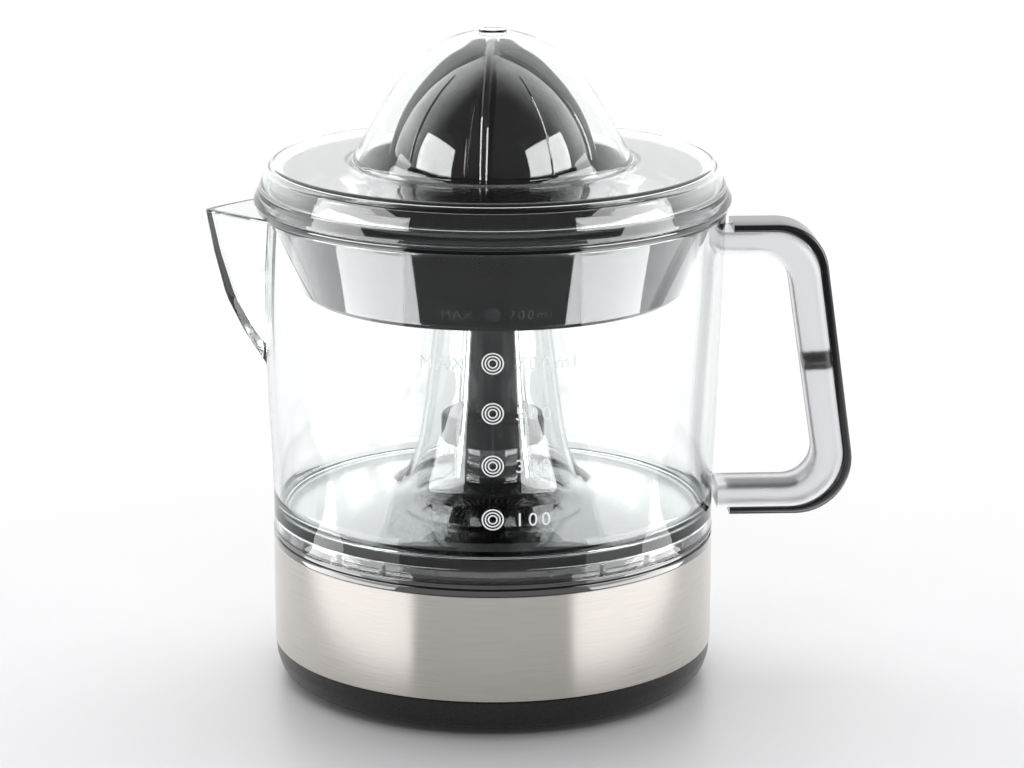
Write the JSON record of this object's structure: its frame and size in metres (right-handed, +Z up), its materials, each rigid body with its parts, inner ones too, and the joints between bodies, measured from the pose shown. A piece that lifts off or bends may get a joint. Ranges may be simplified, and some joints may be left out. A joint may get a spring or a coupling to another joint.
{
  "type": "electric citrus juicer",
  "caption": "Electric citrus press with a steel-banded motor base, clear spouted jug, strainer bowl, fluted cone and domed lid.",
  "frame": {"origin": "on the spindle axis at the plane the feet stand on", "axes": "+Z up along the spindle axis, +X towards the handle, -Y towards the graduated front"},
  "size_m": [0.1992, 0.1464, 0.2029],
  "materials": {
    "black_shell": "satin moulded",
    "brushed_band": "brushed round the axis",
    "gloss_black": "polished",
    "foot_rubber": "matt",
    "zinc_steel": "zinc plated",
    "plate_steel": "stamped",
    "lamination": "stacked laminations",
    "coil_copper": "enamelled wire",
    "bush_bronze": "sintered",
    "switch_case": "moulded",
    "gear_nylon": "moulded nylon",
    "shaft_steel": "ground",
    "column_black": "moulded",
    "clear_jug": "clear polished plastic",
    "frosted_clear": "frosted clear plastic",
    "grip_black": "polished",
    "clear_lid": "clear polished plastic"
  },
  "bodies": {
    "base": {"bottom_shell": "black_shell", "steel_band": "brushed_band", "top_cover": "gloss_black", "rubber_feet": "foot_rubber", "case_screws": "zinc_steel", "gearbox_screws": "zinc_steel", "gearbox_plate": "plate_steel", "idler_axle": "shaft_steel", "motor_stator": "lamination", "motor_coil": "coil_copper", "motor_brackets": "plate_steel", "motor_spacers": "plate_steel", "motor_screws": "zinc_steel", "spindle_bushes": "bush_bronze", "microswitch": "switch_case", "cord_gland": "foot_rubber"},
    "spindle": {"spindle_shaft": "shaft_steel", "output_gear": "gear_nylon", "retaining_ring": "zinc_steel", "splash_collar": "column_black", "drive_dog": "column_black"},
    "pin": {"push_pin": "shaft_steel"},
    "button": {"switch_button": "gear_nylon"},
    "idler": {"idler_gear": "gear_nylon"},
    "rotor": {"rotor_core": "lamination", "rotor_shaft": "shaft_steel", "motor_pinion": "gear_nylon"},
    "jug": {"jug": "clear_jug", "handle_body": "frosted_clear", "grip_strip": "grip_black", "handle_peg": "grip_black"},
    "strainer": {"strainer_bowl": "gloss_black"},
    "drive": {"drive_tube": "column_black", "cone_spring": "shaft_steel"},
    "cone": {"large_cone": "gloss_black", "small_cone": "gloss_black"},
    "lid": {"dust_cover": "clear_lid"}
  },
  "joints": [
    {"name": "jug_lift", "type": "slide", "parent": "base", "child": "jug", "axis": [0, 0, 1], "range_m": [0, 0.12]},
    {"name": "strainer_lift", "type": "slide", "parent": "jug", "child": "strainer", "axis": [0, 0, 1], "range_m": [0, 0.08]},
    {"name": "lid_lift", "type": "slide", "parent": "strainer", "child": "lid", "axis": [0, 0, 1], "range_m": [0, 0.06]},
    {"name": "cone_spin", "type": "hinge", "parent": "strainer", "child": "drive", "pos_m": [0, 0, 0.15], "axis": [0, 0, 1], "continuous": true},
    {"name": "cone_press", "type": "slide", "parent": "drive", "child": "cone", "axis": [0, 0, 1], "range_m": [-0.0025, 0], "stiffness_N_per_m": 800, "springref_m": 0.002, "deforming": ["cone_spring"]},
    {"name": "spindle_spin", "type": "hinge", "parent": "base", "child": "spindle", "pos_m": [0, 0, 0.07], "axis": [0, 0, 1], "continuous": true},
    {"name": "pin_press", "type": "slide", "parent": "spindle", "child": "pin", "axis": [0, 0, 1], "range_m": [-0.0025, 0]},
    {"name": "button_press", "type": "slide", "parent": "base", "child": "button", "axis": [0, 0, 1], "range_m": [-0.0025, 0]},
    {"name": "idler_spin", "type": "hinge", "parent": "base", "child": "idler", "pos_m": [0, 0.035, 0.037], "axis": [0, 0, 1], "continuous": true},
    {"name": "rotor_spin", "type": "hinge", "parent": "base", "child": "rotor", "pos_m": [-0.03019, 0.02691, 0.02], "axis": [0, 0, 1], "continuous": true}
  ],
  "couplings": [
    {"joint": "spindle_spin", "follows": "cone_spin", "ratio": 1},
    {"joint": "idler_spin", "follows": "cone_spin", "ratio": -3.6667},
    {"joint": "rotor_spin", "follows": "cone_spin", "ratio": 14.667},
    {"joint": "pin_press", "follows": "cone_press", "ratio": 1},
    {"joint": "button_press", "follows": "cone_press", "ratio": 1}
  ]
}
